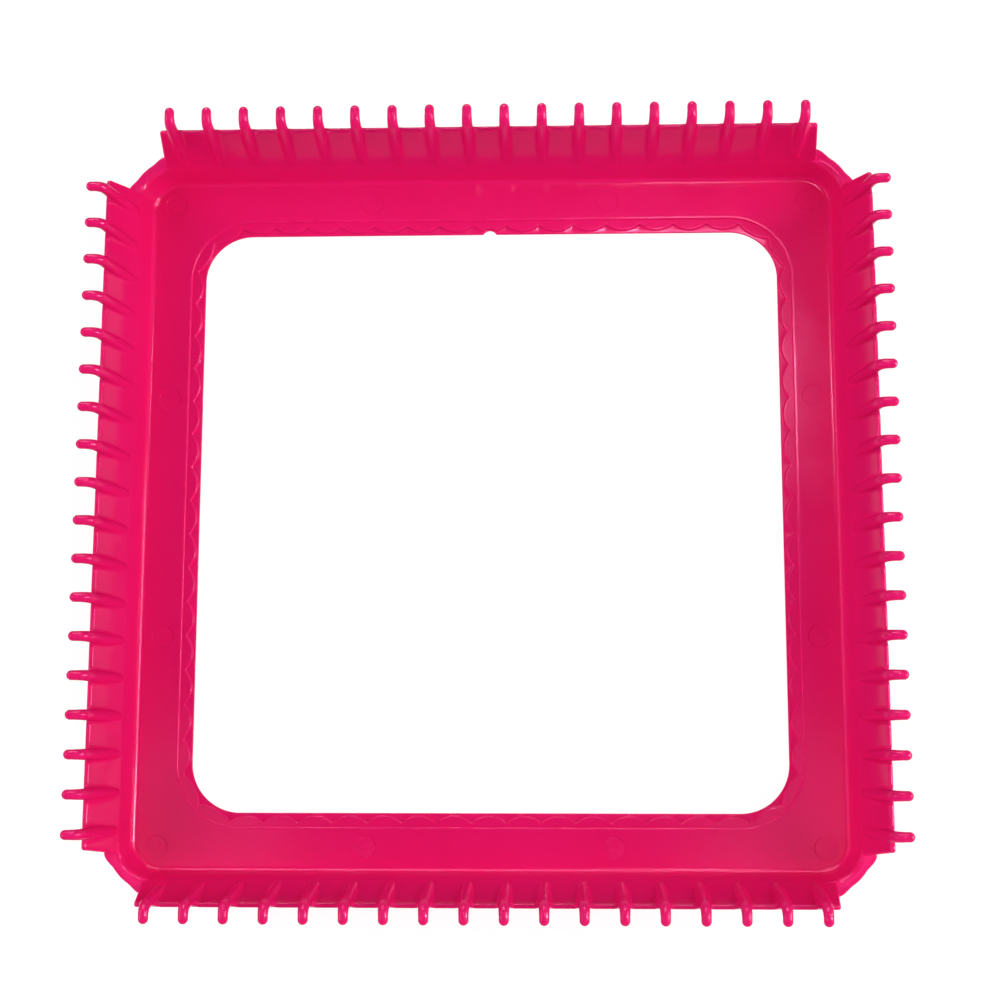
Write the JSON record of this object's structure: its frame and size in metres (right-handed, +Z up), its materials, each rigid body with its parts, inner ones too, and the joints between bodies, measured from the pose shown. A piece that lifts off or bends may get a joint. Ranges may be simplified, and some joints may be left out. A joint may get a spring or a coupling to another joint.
{
  "type": "potholder loom",
  "caption": "Square one-piece weaving loom: a shallow open tray with leaning walls and rows of hooked pegs that hold cotton loops for potholders.",
  "frame": {"origin": "centre of the underside, which is the bottom centre of the box round the loom", "axes": "+Z up, out of the tray; +X to the right and +Y to the back, each along a row of pegs"},
  "size_m": [0.1922, 0.1922, 0.0303],
  "materials": {
    "pink_plastic": "glossy injection-moulded polystyrene, hot pink all through"
  },
  "bodies": {
    "root": {"floor_front": "pink_plastic", "floor_right": "pink_plastic", "floor_back": "pink_plastic", "floor_left": "pink_plastic", "scallop_border_front": "pink_plastic", "scallop_border_right": "pink_plastic", "scallop_border_back": "pink_plastic", "scallop_border_left": "pink_plastic", "peg_wall_front": "pink_plastic", "peg_wall_right": "pink_plastic", "peg_wall_back": "pink_plastic", "peg_wall_left": "pink_plastic", "corner_wall_front_left": "pink_plastic", "corner_wall_front_right": "pink_plastic", "corner_wall_back_right": "pink_plastic", "corner_wall_back_left": "pink_plastic", "pegs_front": "pink_plastic", "pegs_right": "pink_plastic", "pegs_back": "pink_plastic", "pegs_left": "pink_plastic"}
  },
  "joints": []
}
